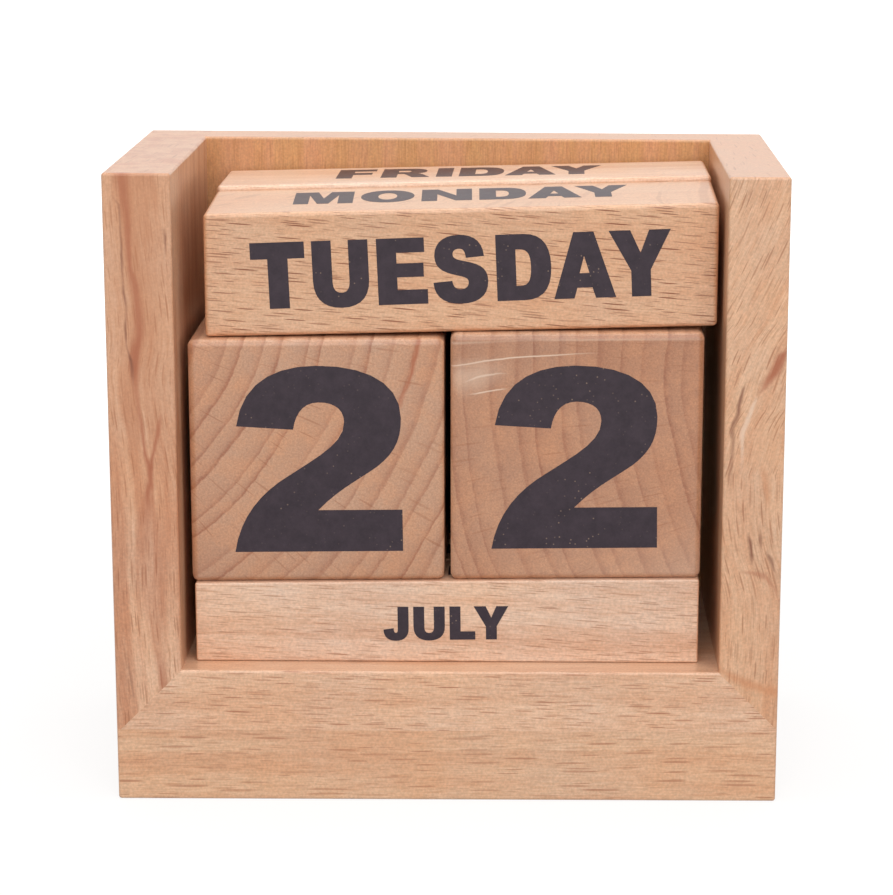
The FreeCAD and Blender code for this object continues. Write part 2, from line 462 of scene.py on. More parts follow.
def addPath(tree, along, points):
    # points are rows of a place along the path and one to three values there. Gives those values as sockets.
    start, length = points[0][0], points[-1][0] - points[0][0]
    columns = list(zip(*points))[1:]
    lows = [min(column) for column in columns]
    spans = [max(column) - low or 1 for column, low in zip(columns, lows)]
    ramp = addNode(tree, "ShaderNodeValToRGB", {}, {0: addRange(tree, along, (start, start + length))})
    ramp.color_ramp.interpolation = "CARDINAL"
    stops = ramp.color_ramp.elements
    for index, (position, *values) in enumerate(points):
        inner = 0 < index < len(points) - 1
        stop = stops.new((position - start) / length) if inner else stops[-1 if index else 0]
        shares = [(value - low) / span for value, low, span in zip(values, lows, spans)]
        stop.color = (*shares, *(0, 0, 0)[len(shares):], 1)
    read = addNode(tree, "ShaderNodeSeparateColor", {}, {0: ramp.outputs[0]}).outputs
    return [addMath(tree, "MULTIPLY_ADD", value, span, low) for value, span, low in zip(read, spans, lows)]


def addMark(tree, colour, axes, stray, onFront, mark):
    # A single band on the front of a piece, of the figure or of painted shade. The rows of its path are the
    # place along it, the place across, half its width and its strength, the first three in mm in the frame's
    # axes.
    markColour, axis, *ragged, path = mark
    alongAxis, acrossAxis = (0, 2) if axis == "x" else (2, 0)
    across, half, strength = addPath(tree, axes[alongAxis], path)
    ragged = ragged[0] if ragged else markForm["ragged"]
    strayed = addMath(tree, "MULTIPLY_ADD", stray, ragged, axes[acrossAxis])
    away = addMath(tree, "ABSOLUTE", addMath(tree, "SUBTRACT", strayed, across))
    reach = addMath(tree, "MULTIPLY", half, markForm["fade"])
    band = addRange(tree, away, (0, reach), (1, 0), smooth=True)
    share = addMath(tree, "MULTIPLY", addMath(tree, "MULTIPLY", band, strength), onFront)
    return addMix(tree, share, colour, linear(markColours[markColour]))


def addMarks(tree, colour, place, axes, front, marks):
    stretched = addVector(tree, "MULTIPLY", place, [pace / mm for pace in markForm["strayPace"]])
    stray = addMath(tree, "SUBTRACT", addNoise(tree, stretched, 1, 4), 0.5)
    onFront = addRange(tree, axes[1], [front + depth for depth in markForm["depth"]], (1, 0))
    for mark in marks:
        colour = addMark(tree, colour, axes, stray, onFront, mark)
    return colour


def makeBeech(node, look):
    # look["pith"] is where the pith runs, in mm from the middle of the piece, in the frame's axes.
    # look["lean"] is the way of one grain line on the front, rows of a place along and one across, in mm.
    material = newMaterial("sandedBeech_" + node)
    tree = material.node_tree
    turn, grain, radial = grainAxes[look["grain"]]
    low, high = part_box(node)
    pith = (low + high) / 2 / mm + Vector(look["pith"])
    turnedPith = Matrix.Rotation(turn[0], 3, "X") @ Matrix.Rotation(turn[1], 3, "Y") @ pith
    place = addNode(tree, "ShaderNodeTexCoord").outputs["Object"]
    axes = addNode(tree, "ShaderNodeSeparateXYZ", {}, {0: addScaled(tree, place, 1 / mm)}).outputs
    shift = 0
    if "lean" in look:
        # The turned X axis runs right for upright grain and down for level grain
        sign = -1 if look["grain"] == "z" else 1
        way = [(along, across * sign) for along, across in look["lean"]]
        shift = addPath(tree, axes["xyz".index(look["grain"])], way)[0]
    figure = addNode(tree, "ShaderNodeGroup", {"node_tree": beechGroup}, {
        "Shift": shift,
        "Grain Turn": turn,
        "Pith": turnedPith,
        "Pith Distance": Vector(look["pith"]).length,
        "Radial": radial,
        "Grain": grain,
        "Seed": look["seed"],
        "Wander": look["wander"],
        "Ring Width": look["ringWidth"],
        "Ring Strength": look["rings"],
        "Streak Strength": look["streaks"],
        "Fleck Strength": look["flecks"],
        "Fleck Width": look["fleckSize"][0],
        "Fleck Length": look["fleckSize"][1],
        "Early Wood": linear(look["early"]),
        "Late Wood": linear(look["late"]),
        "Streak": linear(look["streak"]),
        "Fleck": linear(look["fleck"]),
        "End Grain": linear(look["end"]),
    }).outputs
    colour = figure["Color"]
    # The marks are bands of the figure, and on the cubes and the left board also bands of painted shade
    if "marks" in look:
        colour = addMarks(tree, colour, place, axes, low.y / mm, look["marks"])
    bump = addNode(tree, "ShaderNodeBump", {}, {
        "Strength": beechFinish["bump"], "Distance": beechFinish["bumpDepth"] * mm,
        "Height": figure["Height"]})
    addSurface(tree, {
        "Base Color": colour, "Roughness": figure["Roughness"], "Normal": bump.outputs[0],
        "IOR": beechFinish["ior"], "Coat Weight": 1.0, "Coat Roughness": beechFinish["coatRoughness"],
        "Coat IOR": beechFinish["coatIor"]})
    setMaterial(node, material)


commonLook = {"early": "#e3bb9e", "late": "#c08c6a", "streak": "#d09a76", "fleck": "#94552c",
              "end": "#cfa07c", "ringWidth": 2.6, "rings": 0.3, "streaks": 0.4, "flecks": 0.7,
              "fleckSize": (0.40, 9), "wander": 4}

# Each mark has its colour, the axis that it runs along, how far it strays in mm where that isn't the usual
# distance, and its path (see addMark)

leftBoardMarks = [
    # partly the board's own tan, partly painted shade: a band that darkens the front more towards the top
    ("tan", "z", [
        (40.0, -52.0, 8.0, 0), (58.0, -52.0, 8.0, 0.35), (80.0, -52.0, 8.0, 0.55), (109.7, -52.0, 8.0, 0.6)]),
    ("reddish", "z", [
        (21.0, -49.3, 0.8, 0.7), (23.9, -49.5, 0.9, 0.6), (27.2, -50.0, 1.2, 0.4), (34.4, -50.5, 2.2, 0.35),
        (43.3, -50.8, 2.2, 0.35), (50.8, -51.1, 1.6, 0.5), (54.3, -51.1, 0.9, 0.8), (56.9, -50.7, 0.7, 0.9),
        (59.4, -50.7, 0.6, 0.9), (61.6, -51.2, 0.45, 0.8), (64.1, -51.5, 0.45, 0.75),
        (67.9, -52.0, 0.45, 0.65), (71.5, -52.4, 0.6, 0.45), (74.0, -52.7, 0.8, 0.55),
        (76.9, -52.8, 0.9, 0.9), (80.3, -52.4, 1.0, 0.9), (82.6, -51.8, 0.9, 0.8), (86.5, -51.9, 0.7, 0.7),
        (90.9, -52.3, 0.7, 0.7), (93.4, -52.9, 0.6, 0.65), (97.3, -53.3, 0.6, 0.7),
        (102.4, -53.3, 0.7, 0.65), (105.6, -53.7, 1.0, 0.65), (109.7, -54.1, 1.3, 0.65)]),
    ("reddish", "z", [
        (58.3, -50.7, 0.4, 0), (59.7, -50.5, 0.5, 0.85), (61.8, -50.0, 0.4, 0.75), (64.3, -49.4, 0.4, 0.7),
        (67.1, -49.0, 0.4, 0.65), (69.3, -48.6, 0.4, 0)]),
    ("brown", "z", 0.7, [
        (72.7, -53.1, 0.25, 0), (75.9, -53.2, 0.28, 0.45), (78.3, -53.3, 0.32, 0.75),
        (80.3, -53.9, 0.24, 0.35), (83.2, -54.1, 0.28, 0.7), (86.3, -53.9, 0.24, 0.3),
        (89.5, -54.1, 0.28, 0.7), (92.1, -54.3, 0.24, 0.3), (95.8, -54.4, 0.24, 0.65),
        (99.7, -54.5, 0.22, 0.4), (104.6, -54.6, 0.24, 0.4), (106.1, -55.7, 0.24, 0)]),
    ("brown", "z", [
        (95.7, -47.0, 0.2, 0), (98.7, -47.0, 0.25, 0.7), (101.2, -47.3, 0.2, 0)]),
    ("brown", "z", [
        (17.2, -54.4, 0.2, 0), (19.6, -54.5, 0.25, 0.4), (23.6, -55.1, 0.25, 0.4), (26.3, -55.3, 0.25, 0)]),
]

rightBoardMarks = [
    ("reddish", "z", [
        (72.2, 52.7, 0.3, 0), (73.9, 53.7, 0.6, 0.5), (76.5, 55.2, 1.1, 0.95), (80.0, 56.8, 0.9, 0.9),
        (81.7, 57.6, 0.5, 0)]),
    ("brown", "z", [
        (54.5, 48.4, 0.3, 0), (59.8, 48.4, 0.4, 0.3), (64.7, 48.6, 0.4, 0.5), (67.1, 48.5, 0.4, 0.6),
        (69.2, 49.3, 0.4, 0.7), (71.5, 49.6, 0.45, 0.8), (73.9, 50.2, 0.35, 0.6), (75.1, 50.6, 0.3, 0)]),
    ("pale", "z", [
        (58.0, 50.2, 0.4, 0), (63.3, 50.2, 0.4, 0.4), (67.1, 50.5, 0.5, 0.6), (71.5, 52.1, 0.4, 0.5),
        (72.9, 52.5, 0.3, 0)]),
    ("brown", "z", [
        (42.5, 52.4, 0.25, 0), (44.8, 52.2, 0.4, 0.8), (47.3, 51.9, 0.4, 0.8), (49.0, 51.6, 0.25, 0)]),
    ("brown", "z", [
        (45.3, 53.9, 0.25, 0), (47.4, 53.7, 0.3, 0.6), (50.1, 53.4, 0.25, 0)]),
    ("brown", "z", [
        (40.9, 56.6, 0.3, 0), (42.1, 56.2, 0.3, 0.5), (44.3, 55.5, 0.4, 0.7), (45.7, 54.9, 0.3, 0)]),
    ("reddish", "x", [
        (49.7, 41.4, 0.3, 0), (51.3, 41.6, 0.35, 0.3), (53.5, 41.4, 0.5, 0.45), (55.2, 40.5, 0.8, 0.5),
        (56.5, 38.5, 0.5, 0.4), (57.1, 36.8, 0.4, 0.3)]),
    ("orange", "x", [
        (47.2, 24.1, 0.5, 0.2), (48.7, 23.2, 0.8, 0.4), (51.4, 21.9, 1.1, 0.5), (54.0, 21.0, 1.1, 0.5),
        (57.0, 20.3, 1.1, 0.45)]),
    ("orange", "z", [
        (52.4, 54.9, 0.5, 0), (54.9, 54.7, 0.6, 0.4), (58.9, 54.1, 0.7, 0.4), (61.2, 53.7, 0.5, 0)]),
]

leftCubeMarks = [
    # painted shade: a brown band that darkens its lower part, as if shaded from the light above
    ("brown", "x", [
        (-45.0, 34.0, 12.0, 0.16), (-24.0, 34.0, 11.0, 0.14), (-1.0, 34.0, 13.0, 0.16)]),
    ("reddish", "z", [
        (63.3, -10.7, 0.3, 0), (67.9, -8.9, 0.4, 0.4), (71.4, -7.6, 0.45, 0.65), (74.5, -6.5, 0.5, 0.85),
        (77.3, -5.8, 0.5, 0.9), (79.8, -5.1, 0.45, 0.9), (81.2, -4.8, 0.4, 0.9)]),
]

rightCubeMarks = [
    # its darker upper part and paler lower one
    ("brown", "x", [
        (0.0, 86.0, 13.0, 0.2), (22.0, 86.0, 12.0, 0.16), (44.0, 86.0, 12.0, 0.16)]),
    ("pale", "x", [
        (0.0, 34.0, 8.0, 0), (22.0, 34.0, 10.0, 0.1), (44.0, 34.0, 13.0, 0.25)]),
    # scratches, and the worn patch that they cross
    ("pale", "x", 1.5, [
        (0.4, 74.6, 2.0, 0.1), (2.0, 74.4, 3.0, 0.35), (6.0, 74.8, 2.8, 0.3), (11.0, 76.0, 1.6, 0)]),
    ("pale", "x", 0.15, [
        (0.4, 76.3, 0.12, 0.6), (5.5, 77.1, 0.16, 0.7), (10.4, 77.8, 0.14, 0.85), (19.2, 78.4, 0.12, 0.7),
        (26.5, 78.8, 0.1, 0)]),
    ("pale", "x", 0.15, [
        (3.1, 71.3, 0.1, 0), (5.5, 71.7, 0.14, 0.8), (9.1, 72.3, 0.12, 0.7), (10.3, 72.4, 0.1, 0)]),
    ("pale", "x", 0.3, [
        (2.4, 73.4, 0.1, 0), (4.6, 74.3, 0.2, 0.6), (8.2, 75.0, 0.16, 0.5), (10.6, 75.1, 0.1, 0)]),
    # the worn upper edge
    ("pale", "x", 0.2, [
        (0.8, 80.3, 0.25, 0.3), (12.0, 80.8, 0.2, 0.1), (24.0, 81.0, 0.2, 0.25), (43.0, 81.2, 0.25, 0.15)]),
]

boardLooks = {
    "left_side_board": {
        "grain": "z", "pith": (12, 70, 0), "seed": 1.3, "early": "#e2b99b", "flecks": 0.6,
        "streaks": 0.7, "streak": "#b77652", "wander": 2, "rings": 0.4, "marks": leftBoardMarks,
        "lean": [(15, 1.3), (34, 0), (57, -0.3), (74, -2.2), (82, -1.4), (93, -2.4), (110, -3.6)]},
    "right_side_board": {
        "grain": "z", "pith": (-20, 55, 0), "seed": 4.1, "early": "#dab293", "flecks": 0.6,
        "streaks": 0.6, "wander": 2, "marks": rightBoardMarks,
        "lean": [(15, 0), (36, 0.5), (44, -1.5), (53, -3), (60, -2.6), (70, 1), (85, 7.5), (110, 18)]},
    "bottom_rail": {
        "grain": "x", "pith": (0, 85, 25), "seed": 2.2, "early": "#e2bda1", "flecks": 0.7,
        "fleck": "#a05a34", "lean": [(-60, 0.6), (60, -0.6)]},
    "base_plate": {
        "grain": "x", "pith": (0, 60, -30), "seed": 5.7, "early": "#deb899", "flecks": 0.6,
        "fleck": "#a05c36", "fleckSize": (0.6, 14), "streaks": 0.5},
    "back_panel": {
        "grain": "z", "pith": (30, 90, 0), "seed": 7.4, "early": "#c99763", "flecks": 0.35,
        "streaks": 0.7},
}

blockLooks = {
    "day_bar_front": {
        "grain": "x", "pith": (0, 90, 20), "seed": 3.6, "early": "#dab292", "flecks": 1.0,
        "fleck": "#824317", "wander": 3, "lean": [(-60, 4.7), (60, -4.7)]},
    "day_bar_back": {
        "grain": "x", "pith": (0, 75, -25), "seed": 6.1, "early": "#e6c7b0", "flecks": 0.4},
    "month_bar_front": {
        "grain": "x", "pith": (0, 80, 30), "seed": 8.8, "early": "#e4c6b0", "flecks": 0.6,
        "lean": [(-60, 3.1), (60, -3.1)]},
    "month_bar_middle": {"grain": "x", "pith": (0, 70, -20), "seed": 9.4},
    "month_bar_back": {"grain": "x", "pith": (0, 95, 10), "seed": 10.2},
    # The cubes' end colours are darker than the boards': partly their browner end grain, partly painted shade
    # of the recess they sit in
    "left_number_cube": {
        "grain": "y", "pith": (-58, 0, 34), "seed": 11.9, "end": "#c2997e", "flecks": 0.45,
        "late": "#94573a", "ringWidth": 3.6, "rings": 0.8, "marks": leftCubeMarks},
    "right_number_cube": {
        "grain": "y", "pith": (88, 0, 16), "seed": 12.5, "end": "#b6886c", "flecks": 0.35,
        "late": "#86492e", "ringWidth": 3.8, "rings": 0.65, "marks": rightCubeMarks},
}

for looks in (boardLooks, blockLooks):
    for node, look in looks.items():
        makeBeech(node, {**commonLook, **look})
print("beech on", len(boardLooks), "boards and", len(blockLooks), "blocks")


# Steel pins: drawn wire, dull grey, ground flush

pinLook = {
    "bright": "#b4b0aa",
    "dull": "#8d8883",
    "roughness": (0.34, 0.55),
    "grit": 0.25,                   # mm
}


def makePinSteel():
    material = newMaterial("drawnSteelWire")
    tree = material.node_tree
    place = addNode(tree, "ShaderNodeTexCoord").outputs["Object"]
    grit = addNoise(tree, place, 1 / (pinLook["grit"] * mm), 2)
    addSurface(tree, {
        "Base Color": addMix(tree, grit, linear(pinLook["bright"]), linear(pinLook["dull"])),
        "Roughness": addRange(tree, grit, (0, 1), pinLook["roughness"]), "Metallic": 1.0})
    return material


pinSteel = makePinSteel()
for node in ("left_side_pins", "right_side_pins", "base_plate_pins"):
    setMaterial(node, pinSteel)
print("steel on the pins")


# Screen ink: a thin satin film, nearly black with a violet cast, mottled, with pinholes where it is worn

inkLook = {
    "film": "#281b25",
    "thin": "#3a2d36",              # where the wood drank it
    "thinSpan": (0.35, 0.75),       # noise at which the film gets thin, and is thinnest
    "mottle": 2.4,                  # mm
    "roughness": (0.28, 0.44),
    "ior": 1.4,
    "bump": 0.4,
    "bumpDepth": 0.02,              # mm
    "worn": "#8f7868",              # wood seen through a pinhole
    "pinhole": 0.34,                # mm
    "pinholeCore": 0.4,             # share of its radius that is fully open
    "pinholeTone": 0.8,             # how much of the wood it shows
    "pinholeSpacing": 1.1,          # mm
    "wornPatch": 11.0,              # mm, how far the patches with pinholes lie apart
    "wornSpan": (0.46, 0.62),       # noise at which a patch starts, and is whole
    "elsewhere": 0.12,              # tone of the pinholes outside the patches
}


def makeInk():
    material = newMaterial("screenInk")
    tree = material.node_tree
    place = addNode(tree, "ShaderNodeTexCoord").outputs["Object"]
    mottle = addNoise(tree, place, 1 / (inkLook["mottle"] * mm), 6, 0.7)
    thin = addRange(tree, mottle, inkLook["thinSpan"])
    film = addMix(tree, thin, linear(inkLook["film"]), linear(inkLook["thin"]))
    spacing = inkLook["pinholeSpacing"]
    reach = inkLook["pinhole"] / spacing / 2
    holes = addNode(tree, "ShaderNodeTexVoronoi", {}, {"Vector": place, "Scale": 1 / (spacing * mm)}).outputs
    span = (reach * inkLook["pinholeCore"], reach)
    hole = addRange(tree, holes["Distance"], span, (inkLook["pinholeTone"], 0))
    patches = addNoise(tree, place, 1 / (inkLook["wornPatch"] * mm), 2)
    patch = addRange(tree, patches, inkLook["wornSpan"], (inkLook["elsewhere"], 1), smooth=True)
    bump = addNode(tree, "ShaderNodeBump", {}, {
        "Strength": inkLook["bump"], "Distance": inkLook["bumpDepth"] * mm, "Height": mottle})
    addSurface(tree, {
        "Base Color": addMix(tree, addMath(tree, "MULTIPLY", hole, patch), film, linear(inkLook["worn"])),
        "Roughness": addRange(tree, mottle, (0, 1), inkLook["roughness"]), "Normal": bump.outputs[0],
        "IOR": inkLook["ior"]})
    return material


screenInk = makeInk()


# Heavy grotesque lettering, drawn for this calendar. A capital or digit is 100 units high.
# Each outline is a list of points: two numbers run straight to a point, six curve to one
# (first handle, second handle, point).

ovalHandle = 0.58                   # of a half axis, a little fuller than an ellipse


def oval(x, y, halfWidth, halfHeight):
    across, up = halfWidth * ovalHandle, halfHeight * ovalHandle
    left, right, low, high = x - halfWidth, x + halfWidth, y - halfHeight, y + halfHeight
    return [(x, high), (x + across, high, right, y + up, right, y), (right, y - up, x + across, low, x, low),
            (x - across, low, left, y - up, left, y), (left, y + up, x - across, high, x, high)]


glyphs = {
    "A": [[(0, 0), (32, 100), (63, 100), (95, 0), (64, 0), (59, 16), (36, 16), (31, 0)],
          [(40, 38), (47.5, 64), (55, 38)]],
    "B": [[(0, 0), (0, 100), (50, 100), (70, 100, 80, 90, 80, 75), (80, 64, 75, 57, 66, 53),
           (78, 50, 85, 42, 85, 29), (85, 10, 72, 0, 50, 0)],
          [(30, 61), (30, 79), (42, 79), (48, 79, 51, 76, 51, 70), (51, 64, 48, 61, 42, 61)],
          [(30, 21), (30, 41), (43, 41), (51, 41, 54, 38, 54, 31), (54, 24, 51, 21, 43, 21)]],
    "C": [[(90, 66), (86, 90, 70, 102, 47, 102), (18, 102, 0, 83, 0, 50), (0, 17, 18, -2, 47, -2),
           (71, -2, 86, 10, 90, 35), (61, 38), (59, 27, 54, 21, 47, 21), (36, 21, 31, 31, 31, 50),
           (31, 69, 36, 79, 47, 79), (54, 79, 59, 73, 61, 63)]],
    "D": [[(0, 0), (0, 100), (42, 100), (70, 100, 84, 84, 84, 50), (84, 16, 70, 0, 42, 0)],
          [(30, 22), (30, 77), (36, 77), (48, 77, 53, 70, 53, 50), (53, 29, 48, 22, 36, 22)]],
    "E": [[(0, 0), (0, 100), (73, 100), (73, 78), (30, 78), (30, 62), (71, 62), (71, 41), (30, 41),
           (30, 22), (76, 22), (76, 0)]],
    "F": [[(0, 0), (0, 100), (71, 100), (71, 78), (30, 78), (30, 61), (65, 61), (65, 39), (30, 39), (30, 0)]],
    "G": [[(90, 68), (84, 91, 70, 102, 47, 102), (17, 102, 0, 82, 0, 50), (0, 18, 17, -2, 46, -2),
           (64, -2, 80, 4, 94, 16), (94, 56), (48, 56), (48, 35), (66, 35), (66, 27),
           (60, 23, 55, 21, 48, 21), (36, 21, 31, 31, 31, 50), (31, 70, 37, 80, 48, 80),
           (55, 80, 60, 76, 62, 67)]],
    "H": [[(0, 0), (0, 100), (30, 100), (30, 63), (58, 63), (58, 100), (88, 100), (88, 0), (58, 0), (58, 38),
           (30, 38), (30, 0)]],
    "I": [[(0, 0), (0, 100), (30, 100), (30, 0)]],
    "J": [[(39, 100), (69, 100), (69, 36), (69, 10, 56, -2, 34, -2), (11, -2, 0, 11, 0, 32), (28, 36),
           (28, 26, 30, 22, 34, 22), (38, 22, 39, 26, 39, 35)]],
    "L": [[(0, 0), (0, 100), (30, 100), (30, 25), (70, 25), (70, 0)]],
    "M": [[(0, 0), (0, 100), (41, 100), (53, 45), (65, 100), (106, 100), (106, 0), (79, 0), (79, 72), (63, 0),
           (43, 0), (27, 72), (27, 0)]],
    "N": [[(0, 0), (0, 100), (29, 100), (62, 43), (62, 100), (90, 100), (90, 0), (61, 0), (28, 57), (28, 0)]],
    "O": [oval(48, 50, 48, 52), oval(48, 50, 17, 28)],
    "P": [[(0, 0), (0, 100), (50, 100), (71, 100, 82, 89, 82, 69), (82, 48, 70, 38, 49, 38), (30, 38),
           (30, 0)],
          [(30, 60), (30, 78), (42, 78), (49, 78, 52, 75, 52, 69), (52, 63, 49, 60, 42, 60)]],
    "R": [[(0, 0), (0, 100), (52, 100), (73, 100, 84, 90, 84, 71), (84, 57, 78, 49, 66, 45),
           (72, 43, 75, 38, 79, 30), (92, 0), (59, 0), (49, 25), (45, 35, 43, 39, 36, 39), (30, 39), (30, 0)],
          [(30, 60), (30, 79), (44, 79), (51, 79, 54, 76, 54, 70), (54, 63, 51, 60, 44, 60)]],
    "S": [[(79, 69), (77, 92, 63, 102, 41, 102), (17, 102, 3, 90, 3, 71), (3, 52, 16, 46, 37, 41),
           (50, 38, 54, 36, 54, 30), (54, 24, 49, 20, 42, 20), (34, 20, 30, 24, 29, 33), (0, 31),
           (1, 9, 16, -2, 42, -2), (69, -2, 84, 10, 84, 32), (84, 50, 73, 57, 50, 62),
           (35, 65, 31, 67, 31, 73), (31, 78, 35, 81, 41, 81), (47, 81, 50, 78, 51, 67)]],
    "T": [[(0, 100), (83, 100), (83, 75), (57, 75), (57, 0), (26, 0), (26, 75), (0, 75)]],
    "U": [[(0, 100), (30, 100), (30, 39), (30, 27, 34, 21, 43, 21), (52, 21, 56, 27, 56, 39), (56, 100),
           (86, 100), (86, 40), (86, 12, 70, -2, 43, -2), (16, -2, 0, 12, 0, 40)]],
    "V": [[(0, 100), (32, 100), (47, 36), (62, 100), (93, 100), (63, 0), (30, 0)]],
    "W": [[(0, 100), (31, 100), (43, 42), (56, 100), (84, 100), (97, 42), (109, 100), (140, 100), (113, 0),
           (83, 0), (70, 58), (57, 0), (27, 0)]],
    "Y": [[(0, 100), (33, 100), (48, 66), (62, 100), (95, 100), (63, 40), (63, 0), (33, 0), (33, 39)]],
    "0": [oval(42, 50, 42, 51), oval(42, 50, 13.5, 29)],
    "1": [[(56, 0), (56, 100), (33, 100), (28, 86, 17, 77, 0, 72), (0, 50), (12, 53, 20, 57, 27, 63),
           (27, 0)]],
    "2": [[(2.5, 68), (6, 90, 22, 100, 46, 100), (74, 100, 91, 90, 91, 72), (91, 60, 87, 53, 78, 46),
           (68, 39, 57, 34, 45.5, 22.5), (91, 22.5), (91, 0), (0, 0), (3, 17, 12, 29, 25, 38),
           (45, 51, 60.5, 58, 60.5, 70), (60.5, 77, 55, 80.5, 47, 80.5), (39, 80.5, 34.5, 75, 33, 66)]],
    "3": [[(3, 73), (7, 92, 21, 101, 43, 101), (69, 101, 82, 91, 82, 74), (82, 63, 77, 56, 67, 52),
           (80, 49, 87, 41, 87, 29), (87, 9, 71, -2, 43, -2), (18, -2, 3, 9, 0, 30), (29, 34),
           (31, 24, 35, 20, 43, 20), (52, 20, 57, 24, 57, 31), (57, 38, 52, 42, 43, 42), (35, 42), (35, 61),
           (42, 61), (49, 61, 53, 65, 53, 71), (53, 77, 49, 80, 43, 80), (36, 80, 33, 77, 31, 69)]],
    "4": [[(50, 100), (80, 100), (80, 39), (92, 39), (92, 18), (80, 18), (80, 0), (51, 0), (51, 18), (0, 18),
           (0, 40)], [(24, 39), (51, 74), (51, 39)]],
    "5": [[(12, 100), (81, 100), (81, 77), (34, 77), (32, 63), (37, 66, 43, 67, 49, 67),
           (73, 67, 87, 55, 87, 34), (87, 11, 71, -2, 43, -2), (18, -2, 3, 8, 0, 28), (29, 32),
           (31, 24, 35, 20, 43, 20), (52, 20, 58, 25, 58, 34), (58, 43, 53, 48, 44, 48),
           (37, 48, 33, 45, 30, 41), (3, 45)]],
    "6": [[(83, 76), (79, 93, 66, 101, 46, 101), (17, 101, 0, 83, 0, 47), (0, 15, 15, -2, 44, -2),
           (70, -2, 86, 11, 86, 33), (86, 54, 73, 66, 53, 66), (43, 66, 35, 63, 29, 56),
           (30, 72, 35, 80, 45, 80), (51, 80, 54, 77, 55, 72)], oval(43.5, 33, 14.5, 13.5)],
    "7": [[(0, 100), (84, 100), (84, 80), (62, 60, 50, 32, 48, 0), (17, 0), (19, 30, 31, 56, 49, 76),
           (0, 76)]],
    "8": [[(43, 101), (66, 101, 80, 92, 80, 76), (80, 65, 75, 58, 66, 53), (79, 49, 86, 41, 86, 28),
           (86, 9, 70, -2, 43, -2), (16, -2, 0, 9, 0, 28), (0, 41, 7, 49, 20, 53), (11, 58, 6, 65, 6, 76),
           (6, 92, 20, 101, 43, 101)], oval(43, 72, 12, 10), oval(43, 30, 15, 12)],
}

lettering = {
    "capital": 100,                 # units, the height of a capital or digit
    "weld": 0.001,                  # units, points closer than this are one
    "gap": 13,                      # units between two letters
    "closePairs": {"DA": 3, "AY": -9, "LY": -4, "AU": 2, "AT": -6, "TU": 11, "ES": 9, "AR": 8, "AN": 8,
                   "OV": 2, "TO": 3, "RI": 12, "FE": 12, "AP": 8},
    "proud": 0.02,                  # mm above the wood
    "sunk": 0.03,                   # mm into the wood
    "curveSteps": 7,                # sides to each curved stretch of an outline
    "flat": 0.99,                   # cosine of the angle at which a facet still counts as the face
}


def fillSpline(curve, outline):
    # A curve whose last point is its first one closes on that point's handle
    closing = len(outline[-1]) == 6 and outline[-1][-2:] == outline[0][-2:]
    points = outline[:-1] if closing else outline
    spline = curve.splines.new("BEZIER")
    spline.bezier_points.add(len(points) - 1)
    spline.use_cyclic_u = True
    for knot, point in zip(spline.bezier_points, points):
        knot.co = (*point[-2:], 0)
    for index, knot in enumerate(spline.bezier_points):
        arriving = points[index]
        leaving = outline[index + 1] if index + 1 < len(outline) else ()
        if closing and index == 0:
            arriving = outline[-1]
        knot.handle_left_type = "FREE" if len(arriving) == 6 else "VECTOR"
        knot.handle_right_type = "FREE" if len(leaving) == 6 else "VECTOR"
        knot.handle_left = (*arriving[2:4], 0) if len(arriving) == 6 else knot.co
        knot.handle_right = (*leaving[:2], 0) if len(leaving) == 6 else knot.co


def makeGlyph(name, outlines, collection):
    # A closed slab, one unit thick, from z 0 to 1
    curve = bpy.data.curves.new("glyph" + name, "CURVE")
    curve.dimensions = "2D"
    curve.fill_mode = "BOTH"
    curve.extrude = 0.5
    curve.resolution_u = lettering["curveSteps"]
    for outline in outlines:
        fillSpline(curve, outline)
    shape = bpy.data.objects.new("glyph" + name, curve)
    collection.objects.link(shape)
    bpy.context.view_layer.update()
    mesh = bpy.data.meshes.new_from_object(shape.evaluated_get(bpy.context.evaluated_depsgraph_get()))
    bpy.data.objects.remove(shape)
    mesh.transform(Matrix.Translation((0, 0, 0.5)))
    work = bmesh.new()
    work.from_mesh(mesh)
    bmesh.ops.remove_doubles(work, verts=work.verts, dist=lettering["weld"])
    bmesh.ops.recalc_face_normals(work, faces=work.faces)
    openEdges = sum(1 for edge in work.edges if len(edge.link_faces) != 2)
    work.to_mesh(mesh)
    work.free()
    for face in mesh.polygons:
        face.use_smooth = False
    glyph = bpy.data.objects.new("glyph" + name, mesh)
    collection.objects.link(glyph)
    return max(point.co.x for point in mesh.vertices), openEdges


glyphCollection = bpy.data.collections.new("glyphs")
bpy.context.scene.collection.children.link(glyphCollection)
glyphNames = sorted(glyphs)
glyphWidths = {}
for name in glyphNames:
    glyphWidths[name], openEdges = makeGlyph(name, glyphs[name], glyphCollection)
    if openEdges:
        print("glyph", name, "has", openEdges, "open edges")
print("drew", len(glyphNames), "letters and digits")


# Where each word goes. Blocks are turned in the hand about their long axis, so that a face that
# comes to the front reads upright.

faceDirections = {
    # which way the face looks, and its reader's right
    "front": ((0, -1, 0), (1, 0, 0)),
    "top": ((0, 0, 1), (1, 0, 0)),
    "back": ((0, 1, 0), (1, 0, 0)),
    "bottom": ((0, 0, -1), (1, 0, 0)),
    "left": ((-1, 0, 0), (0, -1, 0)),
    "right": ((1, 0, 0), (0, 1, 0)),
}

digitHeight = 32.4                  # mm
monthHeight = 6.05                  # mm

